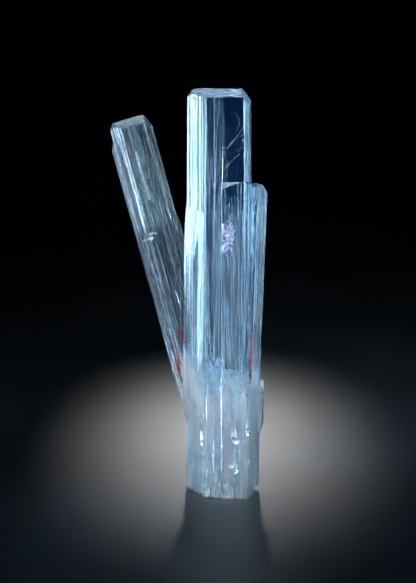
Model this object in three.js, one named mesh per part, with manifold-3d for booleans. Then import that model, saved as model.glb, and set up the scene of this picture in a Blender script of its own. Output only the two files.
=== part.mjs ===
// Aquamarine crystal specimen: an upright striated beryl prism with two parallel growths on its
// right, and a thinner prism that leans out of its back to the left. They grew together, so they
// are one solid. Millimetres, +Z up, -Y is the front. The origin is the middle of the flat base.
import * as THREE from "three";
import { mergeVertices } from "three/addons/utils/BufferGeometryUtils.js";
import Module from "manifold-3d";

const wasm = await Module();
wasm.setup();

// Driving dimensions
const MAIN_HEIGHT = 80;
const COMPANION_HEIGHT = 63.6;
const SLIVER_HEIGHT = 22.6;
const LEANING_LENGTH = 76.2;
const LEAN_DEG = 14.7;
const LEANING_FOOT = new THREE.Vector3(1.2, 4.75, 0.3);
const LEANING_START = 7;
const STRIATION = { pitch: 0.62, depth: 0.16, riser: 0.05, jitter: 0.7 };
const CUTTER_SIZE = 60;
const MERGE_MM = 1e-4;

// A prism face is [compass, distance]: its compass direction in degrees, 0 to the front, 90 to the
// right and 180 to the back, and its distance from the crystal's own axis. They are listed in order
// of compass. A foot scale is how much wider a prism is at its foot than at its top, in x and in y.
const MAIN = {
  seed: 11,
  faces: [[0, 5.7], [60, 6.9], [90, 5.55], [120, 6.5], [180, 6.0], [240, 7.1], [270, 6.75], [300, 5.5]],
  footScale: [1.07, 1.09],
};
const LEFT_LAYER = {
  seed: 23,
  faces: [[0, 5.0], [90, -1.5], [180, 4.6], [240, 7.45], [270, 7.34], [300, 6.2], [312, 6.0]],
  footScale: [1.068, 1.08],
  bottom: 13.6,
  top: 57.5,
};
const COMPANION = {
  seed: 37,
  centre: [4.3, -2.35],
  faces: [[0, 4.25], [60, 4.3], [120, 3.55], [180, 5.0], [270, 4.55], [300, 5.9]],
  tapersTo: [-0.1, -6.6],
  footScale: [0.74, 0.95],
};
const SLIVER = {
  seed: 41,
  centre: [6.95, -0.9],
  faces: [[0, 2.1], [60, 1.75], [90, 1.35], [120, 1.9], [180, 2.4], [270, 1.9]],
  bottom: 12.2,
};
const SLIVER_STEM = {
  seed: 43,
  centre: [6.4, -0.9],
  faces: [[0, 2.3], [60, 1.6], [90, 1.15], [120, 1.8], [180, 2.4], [270, 1.6]],
  tapersTo: [5.4, -0.9],
  footScale: [0.94, 0.95],
  bottom: 0.9,
  top: 15,
};
const LEANING = {
  seed: 53,
  faces: [[0, 3.7], [60, 4.3], [90, 4.0], [120, 4.1], [180, 3.6], [240, 3.9], [300, 3.32]],
};
const LEANING_LEFT = {
  seed: 61,
  centre: [-2.95, 0.35],
  faces: [[0, 1.9], [60, 1.7], [120, 1.8], [180, 1.8], [240, 1.75], [300, 1.62]],
  top: 72.2,
};
const LEANING_RIGHT = {
  seed: 67,
  faces: [[0, 3.4], [60, 4.5], [90, 4.35], [120, 4.35], [180, 2.9], [270, -1.2]],
  top: 55.6,
};
// Layers on the leaning crystal's front left that end in small ledges, one below the other.
const LEANING_LEDGES = [
  { seed: 71, faces: [[0, 3.86], [90, 0.3], [180, 1], [270, 2.2], [300, 3.42]], top: 55.0 },
  { seed: 73, faces: [[0, 3.72], [90, -1.4], [180, 1], [240, 3.8], [300, 3.5]], top: 53.4 },
  { seed: 79, faces: [[0, 3.6], [90, -1.9], [180, 1.4], [240, 4.0], [300, 3.65]], top: 41.0 },
];
const LEDGE_SLOPE_DEG = 32;

// Chips in the front near the base: the middle of each and its radius.
const CHIPS = [
  [2.7, -6.5, 12.1, 0.9],
  [2.5, -6.5, 6.0, 0.85],
  [5.0, -6.4, 13.6, 0.55],
  [-4.3, -4.5, 11.2, 0.75],
];
const CHIP_DEPTH_SHARE = 0.45;

// The same order of pseudo-random numbers each time, from 0 to 1.
function numberStream(seed) {
  let state = seed;
  return () => {
    state = (state + 0x6d2b79f5) | 0;
    let mixed = Math.imul(state ^ (state >>> 15), 1 | state);
    mixed = (mixed + Math.imul(mixed ^ (mixed >>> 7), 61 | mixed)) ^ mixed;
    return ((mixed ^ (mixed >>> 14)) >>> 0) / 2 ** 32;
  };
}

function compassVector(degrees) {
  const angle = THREE.MathUtils.degToRad(degrees);
  return new THREE.Vector2(Math.sin(angle), -Math.cos(angle));
}

// The corners where neighbouring prism faces meet, anticlockwise seen from above.
function prismCorners(faces) {
  return faces.map(([compass, distance], i) => {
    const [nextCompass, nextDistance] = faces[(i + 1) % faces.length];
    const normal = compassVector(compass);
    const nextNormal = compassVector(nextCompass);
    const cross = normal.cross(nextNormal);
    return new THREE.Vector2(
      (distance * nextNormal.y - nextDistance * normal.y) / cross,
      (nextDistance * normal.x - distance * nextNormal.x) / cross,
    );
  });
}

// Splits each side of an outline into the narrow ledges that striate a beryl prism. Each ledge sits
// back from the face and slopes a little, and a short riser leads to the next. The ledges at a
// side's two ends run out to its corners.
function striate(corners, seed) {
  const random = numberStream(seed);
  const outline = [];
  corners.forEach((start, i) => {
    const side = corners[(i + 1) % corners.length].clone().sub(start);
    const inward = new THREE.Vector2(-side.y, side.x).normalize();
    const ledges = Math.max(2, Math.round(side.length() / STRIATION.pitch));
    const riser = STRIATION.riser / side.length();
    const add = (share, depth) =>
      outline.push(start.clone().addScaledVector(side, share).addScaledVector(inward, depth));
    add(0, 0);
    for (let n = 1; n < ledges; n++) {
      const share = (n + STRIATION.jitter * (random() - 0.5)) / ledges;
      const depth = n === 1 || n === ledges - 1 ? STRIATION.depth / 2 : STRIATION.depth;
      add(share - riser, depth * (0.1 + 0.9 * random()));
      add(share + riser, depth * (0.1 + 0.9 * random()));
    }
  });
  return outline;
}

// A closed striated prism from one height to another. Its sides are straight, and it narrows or
// widens towards its foot about the vertical line that it tapers to.
function prism({ seed, faces, centre = [0, 0], tapersTo = centre, footScale = [1, 1] }, bottom, top) {
  const outline = striate(prismCorners(faces), seed);
  const geometry = new THREE.ExtrudeGeometry(new THREE.Shape(outline), {
    depth: top - bottom,
    bevelEnabled: false,
  });
  geometry.translate(centre[0], centre[1], bottom);
  const position = geometry.attributes.position;
  for (let i = 0; i < position.count; i++) {
    const share = (top - position.getZ(i)) / (top - bottom);
    const [scaleX, scaleY] = footScale.map((scale) => 1 + (scale - 1) * share);
    position.setX(i, tapersTo[0] + (position.getX(i) - tapersTo[0]) * scaleX);
    position.setY(i, tapersTo[1] + (position.getY(i) - tapersTo[1]) * scaleY);
  }
  return solid(geometry);
}

function solid(geometry) {
  const bare = geometry.clone();
  bare.deleteAttribute("normal");
  bare.deleteAttribute("uv");
  const merged = mergeVertices(bare, MERGE_MM);
  return new wasm.Manifold(
    new wasm.Mesh({
      numProp: 3,
      vertProperties: merged.attributes.position.array,
      triVerts: new Uint32Array(merged.index.array),
    }),
  );
}

// Cuts away everything beyond each plane, as a termination face or a break does. A plane is a
// point's x, y and z, then the direction it faces.
function cut(body, planes) {
  const up = new THREE.Vector3(0, 0, 1);
  return planes.reduce((left, [x, y, z, normal]) => {
    const turn = new THREE.Quaternion().setFromUnitVectors(up, normal);
    const cutter = new THREE.BoxGeometry(CUTTER_SIZE, CUTTER_SIZE, CUTTER_SIZE);
    cutter.translate(0, 0, CUTTER_SIZE / 2).applyQuaternion(turn).translate(x, y, z);
    return left.subtract(solid(cutter));
  }, body);
}

// The direction of a face that slopes from a compass direction: 0 faces straight up, 90 is upright
// and more than 90 faces down.
function slope(compass, steepness) {
  const angle = THREE.MathUtils.degToRad(steepness);
  const out = compassVector(compass).multiplyScalar(Math.sin(angle));
  return new THREE.Vector3(out.x, out.y, Math.cos(angle));
}

// The upright prism, with its flat top and the small pyramid faces round the top's corners.
function mainCrystal() {
  return cut(prism(MAIN, 0, MAIN_HEIGHT), [
    [5.5, -1, 78.1, slope(90, 49)],
    [-6.6, 0.5, 79.1, slope(270, 48)],
    [-4.7, -2.7, 79.8, slope(300, 40)],
    [4.9, -4.6, 79.3, slope(60, 52)],
    [0, 6.0, 79.5, slope(180, 40)],
    [-5.6, 4.5, 79.7, slope(240, 44)],
    [4.5, 4.9, 79.4, slope(120, 46)],
  ]);
}

// A growth layer that thickens the left side. It thins out at its ends.
function leftLayer() {
  return cut(prism(LEFT_LAYER, LEFT_LAYER.bottom, LEFT_LAYER.top), [
    [-7.2, 0, 55, slope(270, 85.4)],
    [-5.5, -3, 48, slope(300, 86)],
    [-5.6, -3.3, 22, slope(300, 94)],
    [-7.7, 0, 15.4, slope(270, 143)],
  ]);
}

// The parallel crystal in front on the right, with its slanting top.
function companionCrystal() {
  return cut(prism(COMPANION, 0, COMPANION_HEIGHT), [
    [-0.1, -6.6, 62.4, slope(346.7, 54.5)],
    [7.0, -3.2, 63.1, slope(85, 50)],
    [5.5, -5.6, 63.5, slope(150, 15)],
  ]);
}

// The short third crystal low on the right, wider above than its stem.
function sliverCrystal() {
  const upper = cut(prism(SLIVER, SLIVER.bottom, SLIVER_HEIGHT), [
    [7.8, -1.2, 22.5, slope(75, 45)],
    [7.2, -2.6, 22.3, slope(330, 30)],
    [7.6, -1, 12.8, slope(90, 113.5)],
  ]);
  const stem = cut(prism(SLIVER_STEM, SLIVER_STEM.bottom, SLIVER_STEM.top), [
    [7.0, -1, 1.2, slope(68, 147.7)],
  ]);
  return upper.add(stem);
}

// The leaning crystal is made upright about its own axis, then leaned over into place.
function leaningCrystal() {
  const shaft = cut(prism(LEANING, LEANING_START, LEANING_LENGTH + 1), [
    [1.9, 0, LEANING_LENGTH, slope(75, 24)],
    [1.9, 0, LEANING_LENGTH, slope(290, 3)],
    [1.4, -1.0, LEANING_LENGTH, slope(0, 19)],
    [1.4, 1.4, LEANING_LENGTH, slope(180, 28)],
    [4.0, -1, 73.6, slope(90, 64)],
    [-3.0, -0.6, 75.8, slope(285, 48)],
  ]);
  const left = cut(prism(LEANING_LEFT, LEANING_START, LEANING_LEFT.top), [
    [-4.35, 0, 71.6, slope(285, 58)],
    [-3.4, -1.4, 71.9, slope(330, 35)],
  ]);
  const right = cut(prism(LEANING_RIGHT, LEANING_START, LEANING_RIGHT.top), [
    [4.1, 0, LEANING_RIGHT.top - 0.4, slope(90, 81)],
  ]);
  const ledges = LEANING_LEDGES.map((ledge) =>
    cut(prism(ledge, LEANING_START, ledge.top), [[-2.4, -2.6, ledge.top, slope(330, LEDGE_SLOPE_DEG)]]),
  );
  const whole = [left, right, ...ledges].reduce((joined, piece) => joined.add(piece), shaft);
  const broken = cut(whole, [[0, 2, LEANING_START + 2, slope(172.4, 130.7)]]);
  const place = new THREE.Matrix4().makeRotationY(THREE.MathUtils.degToRad(-LEAN_DEG));
  return broken.transform(place.setPosition(LEANING_FOOT).elements);
}

// The shallow hollow that a chip leaves in the crystal's front.
function chip(body, [x, y, z, radius], seed) {
  const random = numberStream(seed);
  const hollow = new THREE.IcosahedronGeometry(radius, 0);
  hollow.rotateX(Math.PI * random()).rotateZ(Math.PI * random());
  hollow.scale(1, CHIP_DEPTH_SHARE, 0.7 + 0.6 * random()).rotateY(Math.PI * random());
  return body.subtract(solid(hollow.translate(x, y, z)));
}

function build() {
  const growths = [leftLayer(), companionCrystal(), sliverCrystal(), leaningCrystal()];
  const whole = growths.reduce((joined, piece) => joined.add(piece), mainCrystal());
  return CHIPS.reduce(chip, whole);
}

function meshOf(body, name, material) {
  const { vertProperties, triVerts } = body.getMesh();
  const geometry = new THREE.BufferGeometry();
  geometry.setAttribute("position", new THREE.BufferAttribute(vertProperties, 3));
  geometry.setIndex(new THREE.BufferAttribute(triVerts, 1));
  geometry.computeVertexNormals();
  const mesh = new THREE.Mesh(geometry, material);
  mesh.name = name;
  return mesh;
}

const aquamarine = new THREE.MeshStandardMaterial({
  color: 0xa8cde0,
  roughness: 0.12,
  metalness: 0,
  transparent: true,
  opacity: 0.6,
});

const specimen = new THREE.Group();
specimen.add(meshOf(build(), "aquamarine_crystal", aquamarine));

export default specimen;
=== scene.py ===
import math
import random

import bmesh
import bpy
import numpy as np
from mathutils import Matrix, Vector, noise
from mathutils.bvhtree import BVHTree


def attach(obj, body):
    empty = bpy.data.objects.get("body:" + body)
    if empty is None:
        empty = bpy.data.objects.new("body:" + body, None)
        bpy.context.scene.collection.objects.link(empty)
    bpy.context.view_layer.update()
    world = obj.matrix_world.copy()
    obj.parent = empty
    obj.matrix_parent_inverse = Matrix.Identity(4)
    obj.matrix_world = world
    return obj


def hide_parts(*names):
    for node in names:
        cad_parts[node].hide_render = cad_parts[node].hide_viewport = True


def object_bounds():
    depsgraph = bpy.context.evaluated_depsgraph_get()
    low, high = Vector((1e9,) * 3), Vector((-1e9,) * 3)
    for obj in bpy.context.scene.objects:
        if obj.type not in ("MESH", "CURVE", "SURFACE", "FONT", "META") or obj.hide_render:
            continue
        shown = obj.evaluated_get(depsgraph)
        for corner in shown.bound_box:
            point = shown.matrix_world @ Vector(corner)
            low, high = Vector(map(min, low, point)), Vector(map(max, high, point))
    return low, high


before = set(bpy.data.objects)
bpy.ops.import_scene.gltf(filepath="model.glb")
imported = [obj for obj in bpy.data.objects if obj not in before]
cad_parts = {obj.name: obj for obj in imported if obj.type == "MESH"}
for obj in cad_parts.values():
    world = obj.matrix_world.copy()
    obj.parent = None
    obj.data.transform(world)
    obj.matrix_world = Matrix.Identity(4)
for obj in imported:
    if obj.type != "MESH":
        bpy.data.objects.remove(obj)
CAD_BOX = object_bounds()

MM = 0.001
NODE = "aquamarine_crystal"
ACROSS = Vector((1, 0, 0))
AWAY = Vector((0, 1, 0))
UP = Vector((0, 0, 1))

# The camera that the photograph was fitted with
CAMERA_MM = Vector((-2.74, -455.0, 152.0))
CAMERA_PITCH_DEG = 13.75
FOCAL_PX = 2392.0
PHOTO_SIZE_PX = (416, 583)
SENSOR_MM = 36.0
CLIP_START_M = 0.01

# The upright crystal: its height, and its front and back faces at the top, which stand further out below
HEIGHT_MM = round(CAD_BOX[1][2] / MM, 3)
FRONT_MM = -5.58
FRONT_TAPER_MM = 0.51
BACK_MM = 5.88
BACK_TAPER_MM = 0.54

# The leaning crystal's own frame, as the solid has it, and each side face's bearing and distance
LEAN_DEG = 14.7
LEAN_FOOT_MM = Vector((1.2, 4.75, 0.3))
LEAN_FRAME = Matrix.Translation(LEAN_FOOT_MM) @ Matrix.Rotation(math.radians(-LEAN_DEG), 4, "Y")
LEAN_INVERSE = LEAN_FRAME.inverted()
LEAN_TURN = LEAN_FRAME.to_3x3()
LEAN_FACES = [(0, 3.86), (60, 4.5), (90, 4.35), (120, 4.35), (180, 3.6), (240, 4.0), (270, 4.9), (300, 3.65)]

# Where the leaning crystal stands free: left of an x, behind a y and above a z, or further behind the rest
LEAN_BESIDE_MM = (-5.0, 0.7, 16.0)
LEAN_BEHIND_Y_MM = 6.6
LEAN_BEHIND_Z_MM = 7.0
LEAN_SKIN_MM = 0.45

# The cloudy foot: its height, the steps and waves of its ragged upper edge, and where its skin clears
CLOUD_TOP_MM = 26.0
CLOUD_DROP_MM = 2.2
CLOUD_STEP_MM = 3.4
CLOUD_WAVE_MM = 1.2
CELL_X_PER_MM = 0.55
CELL_Y_PER_MM = 0.3
CELL_SHIFT = 40
CELL_LAYER = 3.5
CLOUD_WAVE_PER_MM = (1.7, 1, 0)
CLOUD_WAVE_SHIFT = (0, 0, 1)
CLOUD_SKIN_MM = 1.5
CLOUD_ON_LEANING = 0.15

# The almost smooth faces: the ranges over which each begins and ends
WINDOW_LEFT_MM = (0.2, 0.6)
WINDOW_RIGHT_MM = (4.5, 4.3)
WINDOW_BOTTOM_MM = (58, 62)
BAND_LEFT_MM = (5.3, 5.6)
BAND_RIGHT_MM = (8.3, 8.1)
BAND_BOTTOM_MM = (30, 38)
BAND_TOP_MM = (61, 59)

# How finely the surface is cut and how deep its relief is
COLUMN_MM = 0.17
COLUMN_JITTER = 0.55
RING_MM = 2.0
BASE_RING_MM = 0.4
BASE_RING_TOP_MM = CLOUD_TOP_MM + 4
RING_JITTER = 0.3
RING_SEED = 17
TOP_CELL_MM = 0.45
TOP_JITTER = 0.5
TOP_SEEDS = (31, 32)
TOP_AREA_M2 = 4e-6
TOP_CELL_AREA_M2 = 0.1e-6
STRIA_DEPTH_MM = 0.08
STRIA_PER_MM = (3.3, 3.3, 0.05)
WAVE_DEPTH_MM = 0.022
WAVE_PER_MM = (0.9, 0.9, 0.035)
WAVE_SHIFT = (0, 0, 7)
ETCH_DEPTH_MM = 0.16
ETCH_PER_MM = (0.8, 0.8, 1.6)
ETCH_SHIFT = (9, 2, 4)
TOP_RELIEF_MM = 0.14
HILL_PER_MM = (0.7, 0.7, 0)
HILL_SHIFT = (0, 0, 5)
HILLOCK_PER_MM = 1.9
HILLOCK_SHARE = 0.5
SOLE_MM = 0.02
SMOOTH_RELIEF_CUT = 0.85
SMOOTH_LEVELLING = 0.9
LEVELLING = 0.6
LEVELLING_MM = (26, 34)
LEVEL_REACH_MM = 0.2
LEAN_GRAIN_SHIFT_MM = Vector((60, 20, 0))
SHARP_DEG = 7

# Cosines that tell a flat top, a sloping top and a side face apart
FLAT_COS = 0.95
TOP_COS = 0.6
END_COS = 0.35
FACING_COS = 0.7

# Distances in metres below which points count as one, and the bend below which faces are merged
WELD_M = 2e-6
CUT_M = 1e-7
MERGE_DEG = 0.2


def compass(degrees):
    """The way that a bearing points: 0 to the front, 90 to the right."""
    angle = math.radians(degrees)
    return Vector((math.sin(angle), -math.cos(angle), 0.0))


def ramp(value, start, end):
    """0 at the start, 1 at the end and straight between them."""
    return min(1.0, max(0.0, (value - start) / (end - start)))


def noise_at(point, per_mm, shift=(0, 0, 0)):
    """Smooth noise about zero, with its own frequency along each axis."""
    return noise.noise(Vector([along * times for along, times in zip(point, per_mm)]) + Vector(shift))


def lean_distance(point_mm):
    """How far a point is outside the leaning crystal's sides, in mm."""
    local = LEAN_INVERSE @ point_mm
    return max(compass(bearing).dot(local) - distance for bearing, distance in LEAN_FACES)


def on_leaning(point_mm):
    """Whether a point lies on the leaning crystal's sides, where they stand free."""
    x, y, z = point_mm
    right, front, bottom = LEAN_BESIDE_MM
    beside = x < right and y > front and z > bottom
    behind = y > LEAN_BEHIND_Y_MM and z > LEAN_BEHIND_Z_MM
    return (beside or behind) and abs(lean_distance(point_mm)) < LEAN_SKIN_MM


def smoothness(point):
    """1 on the clear right half of the upright crystal's top and on the companion's right, 0 elsewhere."""
    x, _, z = point
    window = ramp(x, *WINDOW_LEFT_MM) * ramp(x, *WINDOW_RIGHT_MM) * ramp(z, *WINDOW_BOTTOM_MM)
    band = ramp(x, *BAND_LEFT_MM) * ramp(x, *BAND_RIGHT_MM)
    band = band * ramp(z, *BAND_BOTTOM_MM) * ramp(z, *BAND_TOP_MM)
    return max(window, band)


def cloud_edge_mm(point):
    """The height that the cloudy foot reaches at a point: a ragged, stepped edge."""
    cell_x = point.x * CELL_X_PER_MM + CELL_SHIFT
    cell_y = point.y * CELL_Y_PER_MM + CELL_SHIFT
    step = noise.cell(Vector((cell_x, cell_y, CELL_LAYER)))
    wave = noise_at(point, CLOUD_WAVE_PER_MM, CLOUD_WAVE_SHIFT)
    return CLOUD_TOP_MM - CLOUD_DROP_MM + CLOUD_STEP_MM * step + CLOUD_WAVE_MM * wave


# The crystal's surface


def reach(face, normal):
    """The lowest and highest distance of a face along a direction."""
    along = [v.co.dot(normal) for v in face.verts]
    return min(along), max(along)


def split_along(bm, faces, normal, step, jitter, seed):
    """Splits faces along parallel planes about a step apart, in metres, working along the normal."""
    rng = random.Random(seed)
    spans = {f: reach(f, normal) for f in faces}
    low = min(s[0] for s in spans.values())
    high = max(s[1] for s in spans.values())
    offset = low + step(low)
    while offset < high:
        below, above = offset - WELD_M, offset + WELD_M
        crossing = [f for f, (start, end) in spans.items() if start < below and end > above]
        for f in [f for f, s in spans.items() if s[1] <= offset]:
            del spans[f]
        if crossing:
            for f in crossing:
                del spans[f]
            edges = {e for f in crossing for e in f.edges}
            verts = {v for f in crossing for v in f.verts}
            done = bmesh.ops.bisect_plane(
                bm, geom=[*verts, *edges, *crossing], dist=CUT_M, plane_co=normal * offset, plane_no=normal
            )
            for g in done["geom"]:
                if isinstance(g, bmesh.types.BMFace):
                    span = reach(g, normal)
                    if span[1] > above:
                        spans[g] = span
        offset += step(offset) * rng.uniform(1 - jitter, 1 + jitter)


def ring_step(height):
    """How far apart the rings round the crystals are at a height, both in metres."""
    return (BASE_RING_MM if height < BASE_RING_TOP_MM * MM else RING_MM) * MM


def side_groups(bm):
    """The side faces by the crystal that they are on and the way that they run."""
    groups = {"x": [], "y": [], "lean_x": [], "lean_y": []}
    for face in bm.faces:
        leaning = on_leaning(face.calc_center_median() / MM)
        axis = LEAN_TURN @ UP if leaning else UP
        if abs(face.normal.dot(axis)) > END_COS:
            continue
        sideways = "x" if abs(face.normal.y) > FACING_COS else "y"
        groups[("lean_" if leaning else "") + sideways].append(face)
    return groups


def cut_crystal(bm):
    """Cuts the side faces into narrow columns and rings, and the tops into small cells."""
    ways = {"x": ACROSS, "y": AWAY, "lean_x": (LEAN_TURN @ ACROSS).normalized(), "lean_y": AWAY}
    for seed, (name, faces) in enumerate(side_groups(bm).items()):
        split_along(bm, faces, ways[name], lambda _: COLUMN_MM * MM, COLUMN_JITTER, seed)
    tops = [f for f in bm.faces if f.normal.z > TOP_COS and f.calc_area() > TOP_AREA_M2]
    for seed, way in zip(TOP_SEEDS, (ACROSS, AWAY)):
        split_along(bm, tops, way, lambda _: TOP_CELL_MM * MM, TOP_JITTER, seed)
        tops = [f for f in bm.faces if f.normal.z > TOP_COS and f.calc_area() > TOP_CELL_AREA_M2]
    sides = [f for f in bm.faces if abs(f.normal.z) < TOP_COS]
    split_along(bm, sides, UP, ring_step, RING_JITTER, RING_SEED)


def relief_mm(point, grain, cloudy):
    """How far the surface sits back from the solid's, in mm."""
    fine = noise_at(grain, STRIA_PER_MM)
    wide = noise_at(grain, WAVE_PER_MM, WAVE_SHIFT)
    depth = STRIA_DEPTH_MM * (0.5 + 0.5 * fine) + WAVE_DEPTH_MM * (0.5 + 0.5 * wide)
    etch = noise_at(point, ETCH_PER_MM, ETCH_SHIFT)
    return depth + ETCH_DEPTH_MM * cloudy * max(0.0, etch)


def shape_top(vert, point):
    """Lowers a point of a flat top into gentle hills."""
    hill = noise_at(point, HILL_PER_MM, HILL_SHIFT) + HILLOCK_SHARE * noise.noise(point * HILLOCK_PER_MM)
    vert.co.z -= TOP_RELIEF_MM * max(0.0, 0.5 + 0.5 * hill) * MM


def shape_side(vert, point, relief, leaning):
    """Levels a point of a side face, sets it back by the relief, and levels the smooth faces again."""
    smooth = smoothness(point)
    below_top = (HEIGHT_MM - point.z) / HEIGHT_MM
    faces_mm = (FRONT_MM - FRONT_TAPER_MM * below_top, BACK_MM + BACK_TAPER_MM * below_top)
    levels = [y for y in faces_mm if abs(point.y - y) < LEVEL_REACH_MM and not leaning]
    push = vert.normal if point.z > SOLE_MM else Vector((*vert.normal.xy, 0)).normalized()
    for level in levels:
        vert.co.y += (level * MM - vert.co.y) * LEVELLING * ramp(point.z, *LEVELLING_MM)
    vert.co -= push * relief * (1 - SMOOTH_RELIEF_CUT * smooth) * MM
    for level in levels:
        vert.co.y += (level * MM - vert.co.y) * SMOOTH_LEVELLING * smooth


def shape_crystal(bm):
    """Gives every point its relief and the values that the material reads."""
    grain_layer = bm.verts.layers.float_vector.new("grain")
    cloud_layer = bm.verts.layers.float.new("cloud")
    striated_layer = bm.verts.layers.float.new("striated")
    for vert in bm.verts:
        point = vert.co / MM
        leaning = on_leaning(point)
        grain = (LEAN_INVERSE @ point) + LEAN_GRAIN_SHIFT_MM if leaning else point
        cloudy = ramp(cloud_edge_mm(point) - point.z, 0, CLOUD_SKIN_MM)
        cloudy *= CLOUD_ON_LEANING if leaning else 1.0
        vert[grain_layer] = grain
        vert[cloud_layer] = cloudy
        vert[striated_layer] = 1.0 - smoothness(point)
        if vert.normal.z > FLAT_COS:
            shape_top(vert, point)
        elif point.z > SOLE_MM or vert.normal.z > -FLAT_COS:
            shape_side(vert, point, relief_mm(point, grain, cloudy), leaning)
        for axis in range(3):
            vert.co[axis] = min(max(vert.co[axis], CAD_BOX[0][axis]), CAD_BOX[1][axis])


def crystal_mesh(node):
    """A finer mesh of the solid, with striae, etch pits and uneven tops."""
    bm = bmesh.new()
    bm.from_mesh(node.data)
    bmesh.ops.remove_doubles(bm, verts=bm.verts, dist=WELD_M)
    bmesh.ops.dissolve_limit(bm, angle_limit=math.radians(MERGE_DEG), verts=bm.verts, edges=bm.edges)
    bm.normal_update()
    cut_crystal(bm)
    bm.normal_update()
    shape_crystal(bm)
    bmesh.ops.triangulate(bm, faces=bm.faces)
    for face in bm.faces:
        face.smooth = True
    mesh = bpy.data.meshes.new("crystal_surface")
    bm.to_mesh(mesh)
    bm.free()
    mesh.set_sharp_from_angle(angle=math.radians(SHARP_DEG))
    return mesh


crystal = bpy.data.objects.new("crystal_surface", crystal_mesh(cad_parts[NODE]))
bpy.context.scene.collection.objects.link(crystal)


# Materials

CLEAR_ROUGHNESS = 0.02
CLOUDY_ROUGHNESS = 0.33
BUMP_PER_MM = (4.0, 4.0, 0.04)
BUMP_DETAIL = 1.0
BUMP_STRENGTH = 0.6
BUMP_MM = 0.07
BERYL_IOR = 1.577
ABSORPTION_COLOUR = (0.35, 0.72, 0.93, 1)
ABSORPTION_DENSITY = 70.0
MOTTLE_DETAIL = 3.0
MOTTLE_RANGE = (0.35, 0.65)


def new_material(name):
    material = bpy.data.materials.new(name)
    material.use_nodes = True
    tree = material.node_tree
    tree.nodes.clear()
    output = tree.nodes.new("ShaderNodeOutputMaterial")
    shader = tree.nodes.new("ShaderNodeBsdfPrincipled")
    tree.links.new(shader.outputs[0], output.inputs["Surface"])
    return material, tree, shader, output


def attribute_node(tree, name):
    node = tree.nodes.new("ShaderNodeAttribute")
    node.attribute_name = name
    return node


def add_cloudy_roughness(tree, shader):
    """Glossy faces above and duller ones on the cloudy foot."""
    cloud = attribute_node(tree, "cloud")
    rough = tree.nodes.new("ShaderNodeMapRange")
    rough.inputs["To Min"].default_value = CLEAR_ROUGHNESS
    rough.inputs["To Max"].default_value = CLOUDY_ROUGHNESS
    tree.links.new(cloud.outputs["Fac"], rough.inputs["Value"])
    tree.links.new(rough.outputs["Result"], shader.inputs["Roughness"])


def add_striae(tree, shader):
    """Fine lines along each crystal, except on its smooth faces."""
    grain = attribute_node(tree, "grain")
    stretch = tree.nodes.new("ShaderNodeMapping")
    stretch.inputs["Scale"].default_value = BUMP_PER_MM
    striae = tree.nodes.new("ShaderNodeTexNoise")
    striae.inputs["Scale"].default_value = 1.0
    striae.inputs["Detail"].default_value = BUMP_DETAIL
    striated = attribute_node(tree, "striated")
    height = tree.nodes.new("ShaderNodeMath")
    height.operation = "MULTIPLY"
    bump = tree.nodes.new("ShaderNodeBump")
    bump.inputs["Strength"].default_value = BUMP_STRENGTH
    bump.inputs["Distance"].default_value = BUMP_MM * MM
    tree.links.new(grain.outputs["Vector"], stretch.inputs["Vector"])
    tree.links.new(stretch.outputs["Vector"], striae.inputs["Vector"])
    tree.links.new(striae.outputs["Fac"], height.inputs[0])
    tree.links.new(striated.outputs["Fac"], height.inputs[1])
    tree.links.new(height.outputs["Value"], bump.inputs["Height"])
    tree.links.new(bump.outputs["Normal"], shader.inputs["Normal"])


def crystal_material():
    material, tree, shader, output = new_material("aquamarine")
    shader.inputs["Base Color"].default_value = (1, 1, 1, 1)
    shader.inputs["IOR"].default_value = BERYL_IOR
    shader.inputs["Transmission Weight"].default_value = 1.0
    add_cloudy_roughness(tree, shader)
    add_striae(tree, shader)
    absorb = tree.nodes.new("ShaderNodeVolumeAbsorption")
    absorb.inputs["Color"].default_value = ABSORPTION_COLOUR
    absorb.inputs["Density"].default_value = ABSORPTION_DENSITY
    tree.links.new(absorb.outputs[0], output.inputs["Volume"])
    return material


def mottled(name, dark, light, per_mm, roughness):
    """A material that wanders between two colours over distances of about one over per_mm."""
    material, tree, shader, _ = new_material(name)
    where = tree.nodes.new("ShaderNodeTexCoord")
    wander = tree.nodes.new("ShaderNodeTexNoise")
    wander.inputs["Scale"].default_value = per_mm / MM
    wander.inputs["Detail"].default_value = MOTTLE_DETAIL
    blend = tree.nodes.new("ShaderNodeValToRGB")
    for stop, position, colour in zip(blend.color_ramp.elements, MOTTLE_RANGE, (dark, light)):
        stop.position = position
        stop.color = (*colour, 1)
    tree.links.new(where.outputs["Object"], wander.inputs["Vector"])
    tree.links.new(wander.outputs["Fac"], blend.inputs["Fac"])
    tree.links.new(blend.outputs["Color"], shader.inputs["Base Color"])
    shader.inputs["Roughness"].default_value = roughness
    return material


crystal.data.materials.append(crystal_material())
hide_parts(NODE)
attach(crystal, "root")


# Inclusions

OCTAHEDRON = np.array([(1, 0, 0), (-1, 0, 0), (0, 1, 0), (0, -1, 0), (0, 0, 1), (0, 0, -1)], float)
OCTAHEDRON_FACES = np.array(
    [(0, 2, 4), (2, 1, 4), (1, 3, 4), (3, 0, 4), (2, 0, 5), (1, 2, 5), (3, 1, 5), (0, 3, 5)]
)

# Three odd directions that tell inside from outside, and how far a ray steps past each surface
PROBE_WAYS = ((0.36, 0.81, 0.46), (-0.71, -0.62, 0.33), (0.87, -0.48, -0.11))
PROBES = [Vector(way).normalized() for way in PROBE_WAYS]
PROBE_STEP_M = 2e-6
surface_tree = BVHTree.FromObject(crystal, bpy.context.evaluated_depsgraph_get())


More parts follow.
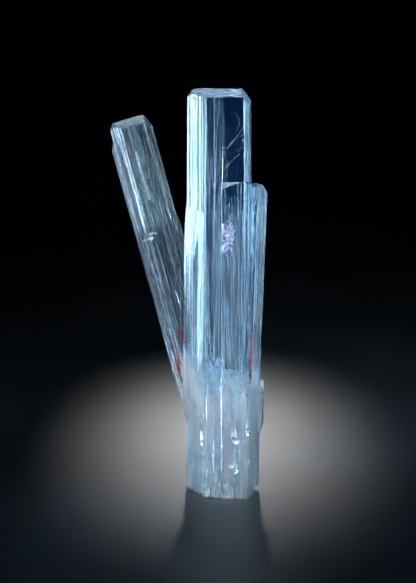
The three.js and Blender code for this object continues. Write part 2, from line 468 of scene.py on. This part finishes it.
def fleck_piece(name, flecks, material):
    """One piece from many small octahedra, each a centre and three half axes, in mm."""
    verts = []
    faces = []
    for n, (centre, axes) in enumerate(flecks):
        basis = np.array([list(a) for a in axes])
        verts.append(OCTAHEDRON @ basis + np.array(centre))
        faces.append(OCTAHEDRON_FACES + len(OCTAHEDRON) * n)
    mesh = bpy.data.meshes.new(name)
    mesh.from_pydata((np.concatenate(verts) * MM).tolist(), [], np.concatenate(faces).tolist())
    mesh.materials.append(material)
    piece = bpy.data.objects.new(name, mesh)
    bpy.context.scene.collection.objects.link(piece)
    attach(piece, "root")


def crossings(start, way):
    """How often a ray passes through the crystal's surface."""
    count = 0
    hit = surface_tree.ray_cast(start, way)[0]
    while hit is not None:
        count += 1
        hit = surface_tree.ray_cast(hit + way * PROBE_STEP_M, way)[0]
    return count


def depth_inside(point_mm):
    """How deep a point is under the crystal's surface, in mm, and negative outside it."""
    start = point_mm * MM
    gap = surface_tree.find_nearest(start)[3] / MM
    return gap if all(crossings(start, way) % 2 for way in PROBES) else -gap


def grain_axes(radius, half_length, leaning=False):
    """Half axes of a needle that lies along its crystal."""
    turn = LEAN_TURN if leaning else Matrix.Identity(3)
    return turn @ Vector((radius, 0, 0)), turn @ Vector((0, radius, 0)), turn @ Vector((0, 0, half_length))


# The milky foot: where its grains may lie, how its upper edge fades and how its streaks thin them out
FLECK_X_MM = (-8, 8.5)
FLECK_Y_MM = (-7, 7)
FLECK_RADIUS_MM = (0.05, 0.15)
FLECK_STRETCH = (1.0, 4.0)
FLECK_COVER_MM = 0.06
SOLE_LAYER_MM = (0.08, 0.6)
SOLE_RADIUS_MM = (0.04, 0.08)
SOLE_CLEARANCE_MM = 0.04
FADE_START_MM = 2.5
FADE_MM = 6
STREAK_PER_MM = (1.5, 0.9, 0.22)
STREAK_CONTRAST = 1.4
PATCH_PER_MM = 0.45
PATCH_SHARE = 0.6
FLECK_DENSITY = 0.48
THINNING = 0.35
THINNING_X_MM = (4.6, 5.8)


def cloud_flecks(count, seed, sole_share, bottom_mm, top_mm, rise):
    """Pale grains between two heights, a share of them near the sole; a rise under 1 puts more on top."""
    rng = random.Random(seed)
    flecks = []
    while len(flecks) < count:
        low = rng.random() < sole_share
        if low:
            height = rng.uniform(*SOLE_LAYER_MM)
        else:
            height = bottom_mm + (top_mm - bottom_mm) * rng.random() ** rise
        p = Vector((rng.uniform(*FLECK_X_MM), rng.uniform(*FLECK_Y_MM), height))
        streak = noise_at(p, STREAK_PER_MM) + PATCH_SHARE * noise.noise(p * PATCH_PER_MM)
        thin = THINNING * ramp(p.x, *THINNING_X_MM)
        if p.z < SOLE_LAYER_MM[0] or p.z > cloud_edge_mm(p) + FADE_START_MM - FADE_MM * rng.random():
            continue
        if rng.random() > FLECK_DENSITY - thin + STREAK_CONTRAST * streak:
            continue
        size = rng.uniform(*SOLE_RADIUS_MM) if low else rng.uniform(*FLECK_RADIUS_MM)
        half = min(size * rng.uniform(*FLECK_STRETCH), p.z - SOLE_CLEARANCE_MM)
        if depth_inside(p) < min(size + FLECK_COVER_MM, p.z):
            continue
        flecks.append((p, grain_axes(size, half)))
    return flecks


# Pale lines under the side faces: painted sheen of the striated faces
LINE_LEANING_SHARE = 0.12
LINE_FRONT_DEG = (-40, 40)
LINE_START_MM = 40
LINE_SIDE_MM = (-7.5, 7.5)
LINE_HALF_MM = (1.5, 9.0)
LINE_UPRIGHT_Z_MM = (4, 78)
LINE_LEANING_Z_MM = (14, 74)
LINE_DEPTH_MM = 0.16
LINE_LOWEST_MM = 0.3
LINE_STRAIGHTNESS = 1.0003
LINE_RADIUS_MM = 0.008
LINE_THICKER_MM = 0.035
SMOOTH_LIMIT = 0.2


def line_tips(home, out, start, heights):
    """The points a little under the surface that lie inward of a start at each height along a crystal."""
    inward = home.to_3x3() @ -out
    tips = []
    for height in heights:
        ray_start = home @ (start + Vector((0, 0, height)))
        hit = surface_tree.ray_cast(ray_start * MM, inward)[0]
        if hit is not None:
            tips.append(hit / MM + inward * LINE_DEPTH_MM)
    return tips


def painted_sheen_lines(count, seed):
    """Fine pale lines just under the crystals' side faces, along their length: painted sheen of the striae.
    """
    rng = random.Random(seed)
    striae_sheen = []
    while len(striae_sheen) < count:
        leaning = rng.random() < LINE_LEANING_SHARE
        home = LEAN_FRAME if leaning else Matrix.Identity(4)
        out = compass(rng.choice((rng.uniform(0, 360), rng.uniform(*LINE_FRONT_DEG))))
        start = out * LINE_START_MM + Vector((-out.y, out.x, 0)) * rng.uniform(*LINE_SIDE_MM)
        half = rng.uniform(*LINE_HALF_MM)
        z = rng.uniform(*LINE_LEANING_Z_MM) if leaning else rng.uniform(*LINE_UPRIGHT_Z_MM)
        tips = line_tips(home, out, start, (z - half, z + half))
        if len(tips) < 2 or smoothness(tips[0]) > SMOOTH_LIMIT:
            continue
        along = (tips[1] - tips[0]) / 2
        if along.length > half * LINE_STRAIGHTNESS or tips[0].z < LINE_LOWEST_MM:
            continue
        side = along.orthogonal().normalized() * (LINE_RADIUS_MM + LINE_THICKER_MM * rng.random() ** 3)
        striae_sheen.append(((tips[0] + tips[1]) / 2, (side, along.cross(side).normalized() * side.length, along)))
    return striae_sheen


# Dark needles inside the leaning crystal, in its own frame: painted shade that darkens it
SHADE_NEEDLE_RIGHT_MM = 4.5
SHADE_NEEDLE_WIDTH_MM = 8.5
SHADE_NEEDLE_Y_MM = (-4.4, 4.4)
SHADE_NEEDLE_RADIUS_MM = (0.012, 0.035)
SHADE_NEEDLE_HALF_MM = (0.4, 2.2)
SHADE_NEEDLE_COVER_MM = 0.15


def leaning_shade_needles(count, seed, along_mm, leftward):
    """Dark needles in a stretch of the leaning crystal, painted shade that darkens it; a leftward under 1
    puts more on its left.
    """
    rng = random.Random(seed)
    needles = []
    while len(needles) < count:
        x = SHADE_NEEDLE_RIGHT_MM - SHADE_NEEDLE_WIDTH_MM * rng.random() ** leftward
        middle = LEAN_FRAME @ Vector((x, rng.uniform(*SHADE_NEEDLE_Y_MM), rng.uniform(*along_mm)))
        axes = grain_axes(rng.uniform(*SHADE_NEEDLE_RADIUS_MM), rng.uniform(*SHADE_NEEDLE_HALF_MM), True)
        if min(depth_inside(middle + axes[2] * s) for s in (-1, 1)) < SHADE_NEEDLE_COVER_MM:
            continue
        needles.append((middle, axes))
    return needles


# Growth tubes, in each crystal's own frame
TUBE_LEANING_SHARE = 0.25
TUBE_HALF_MM = (0.8, 6.0)
TUBE_RADIUS_MM = (0.01, 0.03)
TUBE_LEANING_MM = ((-4, 4), (-3.5, 3.5), (14, 74))
TUBE_UPRIGHT_MM = ((-7, 8), (-6.5, 6.5), (2, 78))
TUBE_COVER_MM = 0.3


def growth_tubes(count, seed):
    """Long thin needles deep inside the crystals, along their length."""
    rng = random.Random(seed)
    tubes = []
    while len(tubes) < count:
        leaning = rng.random() < TUBE_LEANING_SHARE
        half = rng.uniform(*TUBE_HALF_MM)
        axes = grain_axes(rng.uniform(*TUBE_RADIUS_MM), half, leaning)
        middle = Vector([rng.uniform(*span) for span in (TUBE_LEANING_MM if leaning else TUBE_UPRIGHT_MM)])
        if leaning:
            middle = LEAN_FRAME @ middle
        if smoothness(middle) > SMOOTH_LIMIT:
            continue
        if min(depth_inside(middle + axes[2] * s) for s in (-1, 0, 1)) < TUBE_COVER_MM:
            continue
        tubes.append((middle, axes))
    return tubes


# How marks keep under the surface and how much they vary, as shares unless the name gives a unit
SPOT_COVER_MM = 0.06
TIP_COVER_MM = 0.03
GRAIN_COVER_MM = 0.04
THREAD_TURN = 0.25
THREAD_THICKNESS = (0.5, 1.4)
THREAD_LENGTH = (0.5, 1.3)
PLATE_SPREAD = 0.6
PLATE_DEPTHS_MM = (-0.1, 0.2)
PLATE_TURN_RAD = (-0.7, 0.7)
PLATE_SIZES = (0.4, 1.0)
PLATE_HALF_THICKNESS_MM = 0.02
HAZE_GRAIN_SIZES = (0.4, 1.3)
HAZE_GRAIN_STRETCH = (0.8, 3.0)


def thread(rng, corners, count, stray_mm, radius_mm):
    """Small needles strung along a path of points in mm, each a little off it."""
    needles = []
    for n in range(count):
        along = n / count * (len(corners) - 1)
        leg = int(along)
        way = corners[leg + 1] - corners[leg]
        stray_by = Vector([rng.gauss(0, stray_mm) for _ in range(3)])
        spot = corners[leg] + way * (along - leg) + stray_by
        if depth_inside(spot) < SPOT_COVER_MM:
            continue
        tangent = (way.normalized() + Vector([rng.gauss(0, THREAD_TURN) for _ in range(3)])).normalized()
        side = tangent.orthogonal().normalized()
        thick = min(radius_mm * rng.uniform(*THREAD_THICKNESS), depth_inside(spot) - TIP_COVER_MM)
        half = way.length * (len(corners) - 1) / count * rng.uniform(*THREAD_LENGTH)
        if min(depth_inside(spot + tangent * half * s) for s in (-1, 1)) > TIP_COVER_MM:
            needles.append((spot, (side * thick, tangent.cross(side) * thick, tangent * half)))
    return needles


def plates(rng, middle, spread_mm, count, size_mm, facing):
    """Thin flat plates about a point in mm, such as the walls of a small fracture."""
    out = []
    normal = Vector(facing).normalized()
    across = normal.cross(UP).normalized()
    up = across.cross(normal)
    for _ in range(count):
        aside = across * rng.gauss(0, PLATE_SPREAD) * spread_mm[0]
        spot = middle + aside + up * rng.gauss(0, PLATE_SPREAD) * spread_mm[1]
        spot += normal * rng.uniform(*PLATE_DEPTHS_MM)
        turn = Matrix.Rotation(rng.uniform(*PLATE_TURN_RAD), 3, normal)
        wide = turn @ across * size_mm[0] * rng.uniform(*PLATE_SIZES)
        tall = turn @ up * size_mm[1] * rng.uniform(*PLATE_SIZES)
        if min(depth_inside(spot + tip) for tip in (wide, -wide, tall, -tall)) > TIP_COVER_MM:
            out.append((spot, (wide, tall, normal * PLATE_HALF_THICKNESS_MM)))
    return out


def haze(rng, corners, reach_mm, count, size_mm):
    """Small grains loosely scattered about a path of points in mm."""
    out = []
    for _ in range(count):
        along = rng.random() * (len(corners) - 1)
        leg = int(along)
        spot = corners[leg].lerp(corners[leg + 1], along - leg)
        spot = spot + Vector([rng.gauss(0, r) for r in reach_mm])
        grain = size_mm * rng.uniform(*HAZE_GRAIN_SIZES)
        half = grain * rng.uniform(*HAZE_GRAIN_STRETCH)
        if depth_inside(spot) > grain + GRAIN_COVER_MM and spot.z > half + GRAIN_COVER_MM:
            out.append((spot, grain_axes(grain, half)))
    return out


def on_middle_plane(pixel):
    """The point of the plane y = 0 that shows at a pixel of the photograph, in mm."""
    pitch = math.radians(CAMERA_PITCH_DEG)
    forward = Vector((0.0, math.cos(pitch), -math.sin(pitch)))
    up = Vector((0.0, math.sin(pitch), math.cos(pitch)))
    ray = forward + ACROSS * ((pixel[0] - PHOTO_SIZE_PX[0] / 2) / FOCAL_PX)
    ray += up * ((PHOTO_SIZE_PX[1] / 2 - pixel[1]) / FOCAL_PX)
    return CAMERA_MM + ray * (-CAMERA_MM.y / ray.y)


def under_pixel(pixel, depth_mm):
    """The point a little under the surface that shows at a pixel of the photograph, in mm."""
    ray = (on_middle_plane(pixel) - CAMERA_MM).normalized()
    hit = surface_tree.ray_cast(CAMERA_MM * MM, ray)[0]
    return hit / MM + ray * depth_mm


def under_path(path_px, depth_mm):
    return [under_pixel(pixel, depth_mm) for pixel in path_px]


# Where the photograph shows each mark, in its pixels
UPPER_VEIL_PX = ((245, 124), (240, 132), (234, 139), (228, 147))
LOWER_VEIL_PX = ((240, 153), (235, 158), (229, 163), (223, 171))
HOOKED_VEIL_PX = ((234, 111), (239, 117), (240, 123), (235, 132))
FAINT_VEIL_PX = ((246, 131), (240, 136), (233, 141), (226, 150))
SHORT_VEIL_PX = ((244, 146), (239, 150), (232, 152))
EDGE_VEIL_PX = ((224, 146), (225, 156), (227, 168), (226, 178))
WINDOW_DUST_PX = ((210, 150), (242, 150))
# The window glint is painted: pale grains stand in for a glint of light
WINDOW_PAINTED_GLINT_PX = ((243, 140), (243, 141))
LEANING_CRACK_PX = ((136, 152), (139, 163), (141, 172), (146, 186), (150, 200))
LEFT_CRACK_PX = ((199, 330), (198, 342), (197, 354))
CURVED_CRACK_PX = ((205, 343), (207, 356), (211, 366), (213, 374))
COMPANION_CRACK_PX = ((254, 205), (259, 228), (262, 238))
# The leaning crystal's ledge glints are painted, as white threads
LEANING_LEDGE_GLINT_PX = ((148, 235), (153, 233), (157, 233))
LEANING_LOW_LEDGE_GLINT_PX = ((144, 241), (148, 239), (152, 238))
FRACTURE_EDGE_PX = ((223, 227), (222, 231), (223, 236), (222, 243), (222, 250))
FRACTURE_TOP_PX = (222, 229)
FRACTURE_BOTTOM_PX = (222, 248)
FRACTURE_MIDDLE_PX = (229, 238)
UPPER_CHIP_PX = (234, 436)
LOWER_CHIP_PX = (233, 467)
RIGHT_CHIP_PX = (247, 427)
CORNER_CHIP_PX = (194, 100)
# The leaning crystal's sheen is painted, as lavender grains
LEANING_PAINTED_SHEEN_PX = ((115.5, 152), (123, 180), (132.5, 215))
SLIVER_IRON_PX = ((262.5, 392), (262, 420), (258.3, 450), (257.5, 478))
RIGHT_IRON_PX = ((253, 336), (251, 352), (250, 378))
LEANING_IRON_PX = ((177, 350), (179, 372), (185, 402))
HIGH_IRON_PX = ((178, 330), (183, 338))
LEFT_ROSE_PX = ((196, 352), (200, 372))
FOOT_ROSE_PX = ((217, 400), (222, 436), (226, 478))
SPECKS_PX = ((196, 396), (241, 374), (207, 417), (226, 388), (217, 404), (247, 395), (199, 452), (223, 480))
SPECK_FIELD_U_PX = (192, 252)
SPECK_FIELD_V_PX = (385, 478)
SPECK_FIELD_COUNT = 40
SPECK_DEPTH_MM = 0.3

# The ways that plates face
FRONTWARD = (-0.1, -1, 0.1)
FRONT_UPWARD = (-0.1, -0.8, 0.5)
LEFT_FRONTWARD = (-0.7, -0.7, 0.2)


def veil_and_glint_marks(rng):
    """Wisps and dust in the clear window at the upright crystal's top, and a painted glint of pale grains
    there.
    """
    marks = thread(rng, under_path(UPPER_VEIL_PX, 0.9), count=110, stray_mm=0.07, radius_mm=0.045)
    marks += thread(rng, under_path(LOWER_VEIL_PX, 0.9), count=110, stray_mm=0.07, radius_mm=0.045)
    marks += thread(rng, under_path(HOOKED_VEIL_PX, 1.2), count=60, stray_mm=0.09, radius_mm=0.035)
    marks += thread(rng, under_path(FAINT_VEIL_PX, 1.1), count=70, stray_mm=0.12, radius_mm=0.03)
    marks += thread(rng, under_path(SHORT_VEIL_PX, 1.1), count=40, stray_mm=0.12, radius_mm=0.03)
    marks += thread(rng, under_path(EDGE_VEIL_PX, 0.7), count=90, stray_mm=0.16, radius_mm=0.05)
    marks += haze(rng, under_path(WINDOW_DUST_PX, 0.8), reach_mm=(2.0, 0.3, 3.5), count=500, size_mm=0.03)
    # Painted glint: a few pale grains stand in for a glint of light
    marks += haze(rng, under_path(WINDOW_PAINTED_GLINT_PX, 0.5), reach_mm=(0.04, 0.04, 0.04), count=6, size_mm=0.1)
    return marks


def crack_and_glint_marks(rng):
    """White cracks, the fracture's bright ends, the chips on the foot and at the top's left corner, and
    painted glints along the leaning crystal's ledge.
    """
    marks = thread(rng, under_path(LEANING_CRACK_PX, 0.3), count=260, stray_mm=0.10, radius_mm=0.24)
    marks += thread(rng, under_path(LEFT_CRACK_PX, 0.25), count=80, stray_mm=0.08, radius_mm=0.2)
    marks += thread(rng, under_path(CURVED_CRACK_PX, 0.25), count=120, stray_mm=0.08, radius_mm=0.2)
    marks += thread(rng, under_path(COMPANION_CRACK_PX, 0.4), count=40, stray_mm=0.05, radius_mm=0.05)
    # Painted glints: white threads along the leaning crystal's ledge
    for ledge_glint in (LEANING_LEDGE_GLINT_PX, LEANING_LOW_LEDGE_GLINT_PX):
        marks += thread(rng, under_path(ledge_glint, 0.25), count=70, stray_mm=0.10, radius_mm=0.24)
    marks += thread(rng, under_path(FRACTURE_EDGE_PX, 0.2), count=90, stray_mm=0.08, radius_mm=0.16)
    for pixel, depth_mm, spread_mm, count, size_mm, facing in (
        (FRACTURE_TOP_PX, 0.2, (0.35, 0.7), 190, (0.12, 0.4), FRONTWARD),
        (FRACTURE_BOTTOM_PX, 0.2, (0.3, 0.5), 170, (0.12, 0.35), FRONTWARD),
        (UPPER_CHIP_PX, 0.08, (0.6, 0.75), 480, (0.2, 0.17), FRONT_UPWARD),
        (LOWER_CHIP_PX, 0.08, (0.65, 0.65), 480, (0.2, 0.17), FRONT_UPWARD),
        (RIGHT_CHIP_PX, 0.08, (0.3, 0.8), 200, (0.13, 0.2), FRONT_UPWARD),
        (CORNER_CHIP_PX, 0.3, (1.0, 1.3), 80, (0.25, 0.25), LEFT_FRONTWARD),
    ):
        marks += plates(rng, under_pixel(pixel, depth_mm), spread_mm, count, size_mm, facing)
    return marks


def film_and_sheen_marks(rng):
    """A painted sheen of lavender grains on the leaning crystal's left, and the violet fracture."""
    # Painted sheen: lavender grains along the leaning crystal's left
    marks = haze(rng, under_path(LEANING_PAINTED_SHEEN_PX, 0.4), reach_mm=(0.3, 0.4, 1.5), count=900, size_mm=0.05)
    middle = under_pixel(FRACTURE_MIDDLE_PX, 0.3)
    marks += plates(rng, middle, spread_mm=(0.8, 2.2), count=300, size_mm=(0.12, 0.4), facing=FRONTWARD)
    return marks


def iron_marks(rng):
    """Red streaks beside the sliver, on the companion and low on the leaning crystal."""
    marks = haze(rng, under_path(SLIVER_IRON_PX, 0.2), reach_mm=(0.08, 0.3, 0.5), count=700, size_mm=0.07)
    marks += haze(rng, under_path(RIGHT_IRON_PX, 0.3), reach_mm=(0.14, 0.2, 0.6), count=700, size_mm=0.09)
    marks += haze(rng, under_path(LEANING_IRON_PX, 0.5), reach_mm=(0.7, 0.3, 1.2), count=2600, size_mm=0.07)
    marks += haze(rng, under_path(HIGH_IRON_PX, 0.4), reach_mm=(0.4, 0.2, 0.4), count=400, size_mm=0.06)
    return marks


def rosy_marks(rng):
    """Rosy dust on the upright crystal's left and in its foot."""
    marks = haze(rng, under_path(LEFT_ROSE_PX, 0.4), reach_mm=(0.8, 0.2, 0.8), count=500, size_mm=0.05)
    marks += haze(rng, under_path(FOOT_ROSE_PX, 0.3), reach_mm=(1.6, 0.3, 2.2), count=6500, size_mm=0.045)
    return marks


def dark_marks(rng):
    """Dark specks in the foot: the ones that stand out, and a field of small ones."""
    marks = []
    for pixel in SPECKS_PX:
        spot = under_pixel(pixel, SPECK_DEPTH_MM)
        marks += haze(rng, [spot, spot], reach_mm=(0.05, 0.05, 0.05), count=3, size_mm=0.12)
    for _ in range(SPECK_FIELD_COUNT):
        pixel = (rng.uniform(*SPECK_FIELD_U_PX), rng.uniform(*SPECK_FIELD_V_PX))
        spot = under_pixel(pixel, SPECK_DEPTH_MM)
        marks += haze(rng, [spot, spot], reach_mm=(0.1, 0.1, 0.3), count=3, size_mm=0.05)
    return marks


# The marks share one row of random draws, so their order stays
MARK_SEED = 77
mark_rng = random.Random(MARK_SEED)
veils_and_glint = veil_and_glint_marks(mark_rng)
cracks_and_glints = crack_and_glint_marks(mark_rng)
film_and_sheen = film_and_sheen_marks(mark_rng)
iron = iron_marks(mark_rng)
rose = rosy_marks(mark_rng)
specks = dark_marks(mark_rng)

fleck_piece(
    "cloud_flecks",
    cloud_flecks(count=23000, seed=5, sole_share=0.15, bottom_mm=0, top_mm=31, rise=1.0),
    mottled("cloud", dark=(0.52, 0.70, 0.80), light=(1.0, 1.0, 1.0), per_mm=0.8, roughness=0.5),
)
fleck_piece(
    "cloud_crest",
    cloud_flecks(count=18000, seed=6, sole_share=0, bottom_mm=7, top_mm=31, rise=0.45),
    mottled("crest", dark=(0.86, 0.95, 1.0), light=(1.0, 1.0, 1.0), per_mm=0.8, roughness=0.5),
)
fleck_piece(
    "growth_tubes",
    growth_tubes(count=700, seed=9),
    mottled("tubes", dark=(0.55, 0.72, 0.86), light=(0.86, 0.93, 0.98), per_mm=0.8, roughness=0.4),
)
# Painted sheen: pale blue lines stand in for the light that the striated faces catch
fleck_piece(
    "painted_sheen_lines",
    painted_sheen_lines(count=1500, seed=15),
    mottled("striae_sheen", dark=(0.26, 0.52, 0.86), light=(0.68, 0.87, 1.0), per_mm=0.8, roughness=0.4),
)
# Painted shade: near-black needles darken the leaning crystal's lower stretch
fleck_piece(
    "slate_shade_needles",
    leaning_shade_needles(count=4000, seed=23, along_mm=(29, 54), leftward=0.6),
    mottled("slate_shade", dark=(0.02, 0.035, 0.07), light=(0.05, 0.07, 0.13), per_mm=0.25, roughness=0.7),
)
# Painted shade: dark needles darken the leaning crystal's upper stretch
fleck_piece(
    "leaning_shade_needles",
    leaning_shade_needles(count=2600, seed=19, along_mm=(34, 75), leftward=1.0),
    mottled("haze", dark=(0.05, 0.075, 0.05), light=(0.12, 0.15, 0.105), per_mm=0.25, roughness=0.7),
)
# Cracks, chips and fracture ends, with painted glints along the leaning crystal's ledge
fleck_piece(
    "healed_cracks_and_painted_glints",
    cracks_and_glints,
    mottled("crack_walls_and_glints", dark=(0.70, 0.86, 1.0), light=(0.92, 0.98, 1.0), per_mm=1.5, roughness=0.3),
)
# Veils, with a few grains of painted glint among them
fleck_piece(
    "healed_veils_and_painted_glint",
    veils_and_glint,
    mottled("veil_and_glint", dark=(0.36, 0.62, 0.95), light=(0.7, 0.86, 1.0), per_mm=1.5, roughness=0.3),
)
# The violet fracture, with the painted sheen of lavender grains on the leaning crystal
fleck_piece(
    "fracture_film_and_painted_sheen",
    film_and_sheen,
    mottled("film_and_sheen", dark=(0.40, 0.42, 0.88), light=(0.88, 0.90, 1.0), per_mm=1.6, roughness=0.3),
)
fleck_piece(
    "iron_stain",
    iron,
    mottled("iron_oxide", dark=(0.17, 0.02, 0.03), light=(0.34, 0.10, 0.11), per_mm=1.2, roughness=0.7),
)
fleck_piece(
    "rosy_haze",
    rose,
    mottled("rosy_dust", dark=(0.46, 0.27, 0.36), light=(0.68, 0.50, 0.58), per_mm=1.0, roughness=0.7),
)
fleck_piece(
    "dark_specks",
    specks,
    mottled("dark_mineral", dark=(0.02, 0.014, 0.02), light=(0.10, 0.06, 0.08), per_mm=2.0, roughness=0.4),
)


# Floor and background

FLOOR_HALF_M = 3
FLOOR_COLOUR = (0.4, 0.4, 0.4, 1)
FLOOR_ROUGHNESS = 0.5
FLOOR_SPECULAR = 0.15
BACKGROUND_COLOUR = (0.0002, 0.0004, 0.001, 1)

floor_mesh = bpy.data.meshes.new("floor")
floor_corners = [(x * FLOOR_HALF_M, y * FLOOR_HALF_M, 0) for x, y in ((-1, -1), (1, -1), (1, 1), (-1, 1))]
floor_mesh.from_pydata(floor_corners, [], [(0, 1, 2, 3)])
floor = bpy.data.objects.new("floor", floor_mesh)
bpy.context.scene.collection.objects.link(floor)
floor_material, _, floor_shader, _ = new_material("floor")
floor_shader.inputs["Base Color"].default_value = FLOOR_COLOUR
floor_shader.inputs["Roughness"].default_value = FLOOR_ROUGHNESS
floor_shader.inputs["Specular IOR Level"].default_value = FLOOR_SPECULAR
floor.data.materials.append(floor_material)

world = bpy.data.worlds.new("studio")
world.use_nodes = True
world.node_tree.nodes["Background"].inputs["Color"].default_value = BACKGROUND_COLOUR
bpy.context.scene.world = world


# Lights: soft boxes that reach only the specimen, and a pool that reaches only the floor

COOL = (0.66, 0.85, 1.0)
PALE = (0.9, 0.96, 1.0)
KEY = (0.86, 0.96, 1.0)
BLUE = (0.42, 0.68, 1.0)
SKY = (0.45, 0.72, 1.0)
NAVY = (0.05, 0.34, 1.0)
WHITE = (1, 1, 1)
WIDE_DEG = 180
KEY_SPREAD_DEG = 16

# Lowest and highest edge of the tall soft boxes, in mm
TALL = (-10, 140)
INNER = (-5, 130)

floor_only = bpy.data.collections.new("floor_only")
floor_only.objects.link(floor)
specimen_only = bpy.data.collections.new("specimen_only")
for piece in [o for o in bpy.context.scene.objects if o.type == "MESH" and o is not floor]:
    specimen_only.objects.link(piece)


def softbox(name, place_mm, target_mm, size_mm, radiance, colour, spread_deg, receivers=specimen_only):
    light = bpy.data.lights.new(name, "AREA")
    light.shape = "RECTANGLE"
    light.size = size_mm[0] * MM
    light.size_y = size_mm[1] * MM
    light.energy = radiance * math.pi * light.size * light.size_y
    light.color = colour
    light.spread = math.radians(spread_deg)
    lamp = bpy.data.objects.new(name, light)
    bpy.context.scene.collection.objects.link(lamp)
    lamp.location = Vector(place_mm) * MM
    lamp.rotation_euler = (Vector(target_mm) - Vector(place_mm)).to_track_quat("-Z", "Y").to_euler()
    lamp.visible_camera = False
    lamp.light_linking.receiver_collection = receivers


def backdrop(name, bearings_deg, distance_mm, heights_mm, radiance, colour):
    """A softbox that stands behind the crystal and fills a range of bearings from straight behind it."""
    middle = math.radians(sum(bearings_deg) / 2)
    width = 2 * distance_mm * math.tan(math.radians(bearings_deg[1] - bearings_deg[0]) / 2)
    height = sum(heights_mm) / 2
    place = (distance_mm * math.sin(middle), distance_mm * math.cos(middle), height)
    size = (width, heights_mm[1] - heights_mm[0])
    softbox(name, place, (0, 0, height), size, radiance, colour, WIDE_DEG)


backdrop("right_back", bearings_deg=(30, 49), distance_mm=75, heights_mm=TALL, radiance=2.9, colour=COOL)
backdrop("right_edge", bearings_deg=(64, 76), distance_mm=75, heights_mm=TALL, radiance=2.3, colour=COOL)
backdrop("left_back", bearings_deg=(-75, -42), distance_mm=80, heights_mm=TALL, radiance=0.08, colour=BLUE)
backdrop("right_inner", bearings_deg=(8, 22), distance_mm=100, heights_mm=INNER, radiance=0.45, colour=BLUE)
backdrop("left_inner", bearings_deg=(-24, -9), distance_mm=100, heights_mm=INNER, radiance=0.32, colour=BLUE)
backdrop("back_low", bearings_deg=(-8, 8), distance_mm=90, heights_mm=(0, 38), radiance=0.07, colour=SKY)
backdrop("back_far", bearings_deg=(-8, 8), distance_mm=190, heights_mm=(0, 80), radiance=0.05, colour=NAVY)
softbox(
    "back_top", place_mm=(0, 300, 175), target_mm=(0, 0, 60), size_mm=(200, 110),
    radiance=1.5, colour=COOL, spread_deg=WIDE_DEG,
)
softbox(
    "top", place_mm=(-40, 40, 170), target_mm=(0, 0, 60), size_mm=(120, 120),
    radiance=2.0, colour=COOL, spread_deg=WIDE_DEG,
)
softbox(
    "leaning_key", place_mm=(-60, -110, 150), target_mm=(-14, 2, 60), size_mm=(50, 50),
    radiance=1.0, colour=PALE, spread_deg=KEY_SPREAD_DEG,
)
softbox(
    "base_key", place_mm=(-30, -110, 140), target_mm=(0, 0, 23), size_mm=(80, 60),
    radiance=14.0, colour=KEY, spread_deg=KEY_SPREAD_DEG,
)
softbox(
    "front_top", place_mm=(-49, -71, 190), target_mm=(0, -6, 63), size_mm=(80, 80),
    radiance=0.8, colour=COOL, spread_deg=60,
)
softbox(
    "front_left", place_mm=(-85, -75, 70), target_mm=(0, 0, 60), size_mm=(70, 130),
    radiance=2.6, colour=PALE, spread_deg=WIDE_DEG,
)
softbox(
    "front_right", place_mm=(85, -90, 60), target_mm=(0, 0, 50), size_mm=(60, 150),
    radiance=2.5, colour=PALE, spread_deg=WIDE_DEG,
)
softbox(
    "pool", place_mm=(0, 380, 205), target_mm=(0, 36, 0), size_mm=(24, 24),
    radiance=1.45, colour=WHITE, spread_deg=9, receivers=floor_only,
)


# Camera and light paths

MAX_BOUNCES = 24
DIFFUSE_BOUNCES = 12
TRANSMISSION_BOUNCES = 20

camera_data = bpy.data.cameras.new("camera")
camera_data.sensor_width = SENSOR_MM
camera_data.lens = SENSOR_MM * FOCAL_PX / PHOTO_SIZE_PX[1]
camera_data.clip_start = CLIP_START_M
camera = bpy.data.objects.new("camera", camera_data)
camera.location = CAMERA_MM * MM
camera.rotation_euler = (math.radians(90 - CAMERA_PITCH_DEG), 0, 0)
bpy.context.scene.collection.objects.link(camera)
bpy.context.scene.camera = camera
bpy.context.scene.view_settings.view_transform = "Standard"
bpy.context.scene.cycles.caustics_reflective = False
bpy.context.scene.cycles.max_bounces = MAX_BOUNCES
bpy.context.scene.cycles.diffuse_bounces = DIFFUSE_BOUNCES
bpy.context.scene.cycles.transmission_bounces = TRANSMISSION_BOUNCES
